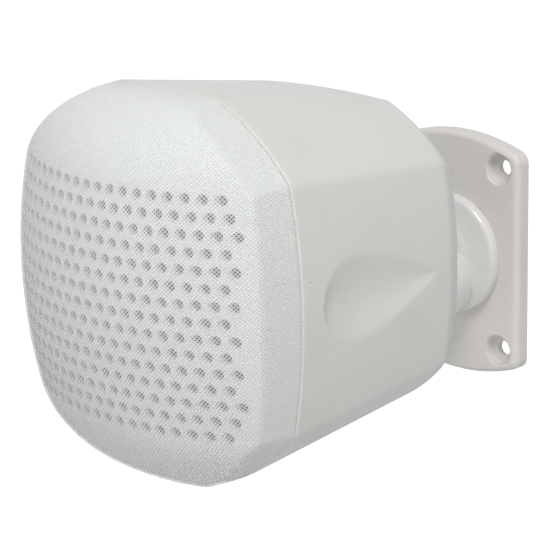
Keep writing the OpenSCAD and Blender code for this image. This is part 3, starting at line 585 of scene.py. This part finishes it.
class SpeakerSizes(bpy.types.PropertyGroup):
    """Sizes of the pieces made here."""

    yarn_pitch: FloatProperty(
        name="Yarn pitch", description="Distance between neighbouring yarns of the cloth",
        default=1.11 * MM, min=0.4 * MM, max=3 * MM, unit="LENGTH", precision=5)
    yarn_cover: FloatProperty(
        name="Yarn cover", description="How opaque the yarns are",
        default=0.66, min=0, max=1, subtype="FACTOR")
    pore_cover: FloatProperty(
        name="Pore cover", description="How opaque the pores are",
        default=0.15, min=0, max=1, subtype="FACTOR")
    cloth_thickness: FloatProperty(
        name="Cloth thickness", description="Thickness of the cloth",
        default=0.15 * MM, min=0.1 * MM, max=0.4 * MM, unit="LENGTH", precision=5)
    crease: FloatProperty(
        name="Crease", description="Length of the rounding on each side of the cloth's crease",
        default=2 * MM, min=0.5 * MM, max=2.3 * MM, unit="LENGTH")
    corner_soft: FloatProperty(
        name="Corner softness", description="Width of the rounding along the cabinet's edges",
        default=1.1 * MM, min=0.5 * MM, max=3 * MM, unit="LENGTH")


class SpeakerColours(bpy.types.PropertyGroup):
    """Colours of the visible pieces, as sRGB hex codes."""

    cloth: StringProperty(name="Cloth", description="Colour of the yarns", default="#fbfcfb")
    # Painted shade: the darker colour that the cloth takes in the valleys between its yarns
    valley_shade: StringProperty(name="Cloth valley", description="Colour between yarns", default="#dddfdc")
    cabinet: StringProperty(name="Cabinet", description="Colour of the cabinet", default="#dfdfdc")
    plate: StringProperty(name="Plate", description="Colour of the wall plate", default="#dfdcd8")
    knuckle: StringProperty(name="Knuckle", description="Colour of the knuckle and arm", default="#e2e1df")


class SPEAKER_OT_camera(bpy.types.Operator):
    """Places the camera at the photograph's viewing angle"""

    bl_idname = "speaker.camera"
    bl_label = "Camera"

    def execute(self, context):
        place = Vector(CAMERA_PLACE)
        right = Vector(CAMERA_RIGHT).normalized()
        forward = Vector(CAMERA_FORWARD).normalized()
        up = right.cross(forward).normalized()
        right = forward.cross(up)
        data = bpy.data.cameras.new("camera")
        data.lens, data.sensor_width = CAMERA_LENS, CAMERA_SENSOR
        data.clip_start, data.clip_end = 0.05, 20
        camera = bpy.data.objects.new("camera", data)
        turn = Matrix((right, up, -forward)).transposed().to_4x4()
        camera.matrix_world = Matrix.Translation(place) @ turn
        context.scene.collection.objects.link(camera)
        context.scene.camera = camera
        return {"FINISHED"}


class SPEAKER_OT_cloth(bpy.types.Operator):
    """Makes the netting stretched over the grille"""

    bl_idname = "speaker.cloth"
    bl_label = "Grille cloth"

    def execute(self, context):
        sizes, colours = context.scene.speaker_sizes, context.scene.speaker_colours
        outer = cloth_rings(sizes.corner_soft / MM / OUTLINE_STEP, sizes.crease / MM)
        flat = flat_map(outer)
        inner = outer - normals_of(outer) * sizes.cloth_thickness / MM
        rings = np.concatenate([inner, outer[::-1]])
        cloth = surface("cloth_cover", rings, np.concatenate([flat, flat[::-1]]))
        cloth.data.materials.append(grille_cloth_material(sizes, colours))
        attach(cloth, "speaker")
        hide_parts("grille_cloth")
        return {"FINISHED"}


class SPEAKER_OT_cabinet(bpy.types.Operator):
    """Makes the cabinet's moulded shell with its softened edges and the hollow in each side"""

    bl_idname = "speaker.cabinet"
    bl_label = "Cabinet"

    def execute(self, context):
        sizes, colours = context.scene.speaker_sizes, context.scene.speaker_colours
        rings, first, count = cabinet_rings(sizes.corner_soft / MM / OUTLINE_STEP)
        outside = np.zeros(len(rings), bool)
        outside[first:first + count] = rings[first:first + count, 0, 1] < BACK_Y
        crest = first + int(np.argmin(rings[first:first + count, 0, 1]))
        outside[crest:] = False
        depth = dimple(rings) * outside[:, None] * (np.abs(rings[..., 0]) > DIMPLE_MIN_X)
        rings[..., 0] -= np.sign(rings[..., 0]) * depth
        shell = surface("cabinet_shell", rings)
        # Satin ABS from a finely sparked mould: soft wide highlights, with hand marks and grains of dust
        satin = moulded("satin_abs", colours.cabinet, "#d3d3cf", 0.46, dust=0.5, smudge=0.5)
        shell.data.materials.append(satin)
        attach(shell, "speaker")
        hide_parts("cabinet")
        return {"FINISHED"}


class SPEAKER_OT_bracket(bpy.types.Operator):
    """Finishes the wall plate, the knuckle, the arm and their fixings"""

    bl_idname = "speaker.bracket"
    bl_label = "Bracket"

    def execute(self, context):
        colours = context.scene.speaker_colours
        # The plate is a warmer satin ABS than the cabinet, and the knuckle and arm come from a polished mould
        warm = moulded("warm_satin_abs", colours.plate, "#d3cfca", 0.42, smudge=0.3)
        gloss = moulded("gloss_abs", colours.knuckle, "#d8d7d5", 0.22, relief_mm=0.001, coat=0.25, smudge=0.2)
        smoothed("wall_plate", "plate", warm, round_plate_edge)
        smoothed("swivel_knuckle", "knuckle", gloss)
        smoothed("tilt_arm", "speaker", gloss)
        # Zinc plating is bluish and bright, blackened spring steel darker, and turned brass a warm yellow
        dress(metal("zinc_plated_steel", "#c9ccd0", "#a3a8ae", 0.32),
              "swivel_washer", "swivel_screw", "tilt_screw", "arm_screws")
        dress(metal("spring_steel", "#8f9396", "#6f7376", 0.3), "wave_washer")
        dress(metal("turned_brass", "#cdae5e", "#b08f45", 0.25), "brass_inserts")
        dress(moulded("natural_nylon", "#e8e4d6", "#d9d3c0", 0.5), "friction_washers")
        return {"FINISHED"}


class SPEAKER_OT_front(bpy.types.Operator):
    """Finishes the grille, its sockets, the baffle and what fastens them"""

    bl_idname = "speaker.front"
    bl_label = "Grille and baffle"

    def execute(self, context):
        # The grille is white ABS seen through the cloth, and behind it all is dark, so the holes read dark
        dress(moulded("white_grille_abs", "#dfe2df", "#d6d9d6", 0.5), "grille_shell")
        rubber = moulded("soft_rubber", "#2b2b2b", "#1d1d1d", 0.7, grain_mm=0.6)
        dress(rubber, "grille_sockets", "cable_grommet")
        dress(moulded("dark_abs", "#3b3b3b", "#2d2d2d", 0.6), "baffle")
        dress(fibrous("cell_foam", "#2b2b2b", "#161616", 0.5, 0.15), "baffle_gasket", "driver_gasket")
        dress(metal("zinc_plated_screw", "#b3b7bb", "#8f9499", 0.35), "baffle_screws", "driver_screws")
        return {"FINISHED"}


class SPEAKER_OT_driver(bpy.types.Operator):
    """Finishes the loudspeaker's frame, magnet and moving parts"""

    bl_idname = "speaker.driver"
    bl_label = "Loudspeaker"

    def execute(self, context):
        # Painted pressings, bright pole pieces, grey ferrite, amber resin cloth, felted pulp and copper wire
        dress(moulded("black_painted_steel", "#26292b", "#1b1e20", 0.4), "basket")
        dress(metal("pole_steel", "#b7bbbf", "#94999e", 0.3), "top_plate", "yoke")
        dress(moulded("sintered_ferrite", "#37393c", "#26282a", 0.6, grain_mm=0.5, relief_mm=0.02), "magnet")
        dress(fibrous("resin_dipped_cloth", "#c79b3c", "#a87b26", 0.6, 0.08, 0.6), "spider")
        dress(moulded("butyl_rubber", "#252626", "#191a1a", 0.55, grain_mm=0.8), "surround")
        dress(fibrous("pressed_pulp", "#4b4742", "#2f2c29", 1.2, 0.12), "cone", "dust_cap")
        dress(fibrous("hard_card", "#8a6f45", "#6e5633", 0.8, 0.03, 0.7), "surround_ring", "tag_strip",
              "coil_former")
        dress(metal("enamelled_copper", "#c46a35", "#9c4d22", 0.25), "voice_coil")
        return {"FINISHED"}


class SPEAKER_OT_inside(bpy.types.Operator):
    """Finishes the wadding, leads and terminal block inside the cabinet"""

    bl_idname = "speaker.inside"
    bl_label = "Inside"

    def execute(self, context):
        # Loose white wadding, glossy red insulation on the leads, and waxy nylon with brass screws
        dress(fibrous("polyester_wadding", "#f1efe9", "#cfccc4", 1.5, 0.5, sheen=0.3), "damping_wad")
        dress(moulded("pvc_insulation", "#a82f28", "#8c231e", 0.45), "internal_leads")
        dress(moulded("terminal_nylon", "#e6e1d0", "#d3cdb9", 0.5), "terminal_block")
        dress(metal("terminal_brass", "#c9a955", "#a98a3f", 0.28), "terminal_screws")
        return {"FINISHED"}


class SPEAKER_OT_stage(bpy.types.Operator):
    """Lays the floor and sets the world and the lamps"""

    bl_idname = "speaker.stage"
    bl_label = "Stage"

    def execute(self, context):
        scene = context.scene
        scene.view_settings.view_transform = "Standard"
        world = bpy.data.worlds.new("studio")
        scene.world = world
        world.use_nodes = True
        tree = world.node_tree
        tree.nodes.clear()
        path = node(tree, "LightPath")
        seen = path.outputs["Is Camera Ray"]
        for name in ("Is Glossy Ray", "Is Transmission Ray"):
            seen = node(tree, "Math", {0: seen, 1: path.outputs[name]}, operation="MAXIMUM").outputs[0]
        strength = spread(tree, seen, SKY_LEVEL, 1.0)
        sky = node(tree, "Background", {"Color": (1, 1, 1, 1), "Strength": strength})
        node(tree, "OutputWorld", {"Surface": sky.outputs[0]})

        half, level = FLOOR_HALF, FLOOR_Z
        mesh = bpy.data.meshes.new("floor")
        square = ((-half, -half), (half, -half), (half, half), (-half, half))
        mesh.from_pydata([(x, y, level) for x, y in square], [], [(0, 1, 2, 3)])
        floor = bpy.data.objects.new("floor", mesh)
        scene.collection.objects.link(floor)
        material, tree = new_tree("pale_floor")
        diffuse = node(tree, "BsdfDiffuse", {"Color": (0.8, 0.8, 0.8, 1)})
        camera = node(tree, "LightPath").outputs["Is Camera Ray"]
        strength = spread(tree, camera, 0, FLOOR_GLOW)
        glow = node(tree, "Emission", {"Color": (1, 1, 1, 1), "Strength": strength})
        both = node(tree, "AddShader", {0: diffuse.outputs[0], 1: glow.outputs[0]})
        node(tree, "OutputMaterial", {"Surface": both.outputs[0]})
        mesh.materials.append(material)

        for name, place, size, power in LAMPS:
            data = bpy.data.lights.new(name, "AREA")
            data.shape, data.size, data.energy = "DISK", size, power
            lamp = bpy.data.objects.new(name, data)
            lamp.location = place
            lamp.rotation_euler = (Vector(place) - Vector(LAMP_AIM)).to_track_quat("Z", "Y").to_euler()
            scene.collection.objects.link(lamp)
        return {"FINISHED"}


class SPEAKER_PT_panel(bpy.types.Panel):
    """Lists the sizes, colours and steps in the sidebar"""

    bl_label = "Speaker"
    bl_idname = "SPEAKER_PT_panel"
    bl_space_type = "VIEW_3D"
    bl_region_type = "UI"
    bl_category = "Speaker"

    def draw(self, context):
        for group in (context.scene.speaker_sizes, context.scene.speaker_colours):
            for name in group.__annotations__:
                self.layout.prop(group, name)
        for step in STEPS:
            self.layout.operator(step.bl_idname)


STEPS = (SPEAKER_OT_camera, SPEAKER_OT_cloth, SPEAKER_OT_cabinet, SPEAKER_OT_bracket, SPEAKER_OT_front,
         SPEAKER_OT_driver, SPEAKER_OT_inside, SPEAKER_OT_stage)
CLASSES = (SpeakerSizes, SpeakerColours) + STEPS + (SPEAKER_PT_panel,)


def register():
    """Registers the classes and hangs both property groups on the scene."""
    for each in CLASSES:
        bpy.utils.register_class(each)
    bpy.types.Scene.speaker_sizes = PointerProperty(type=SpeakerSizes)
    bpy.types.Scene.speaker_colours = PointerProperty(type=SpeakerColours)


def unregister():
    """Undoes what register does, in the opposite order."""
    del bpy.types.Scene.speaker_colours
    del bpy.types.Scene.speaker_sizes
    for each in reversed(CLASSES):
        bpy.utils.unregister_class(each)


def main():
    register()
    for step in STEPS:
        group, name = step.bl_idname.split(".")
        getattr(getattr(bpy.ops, group), name)()


if __name__ == "__main__":
    main()
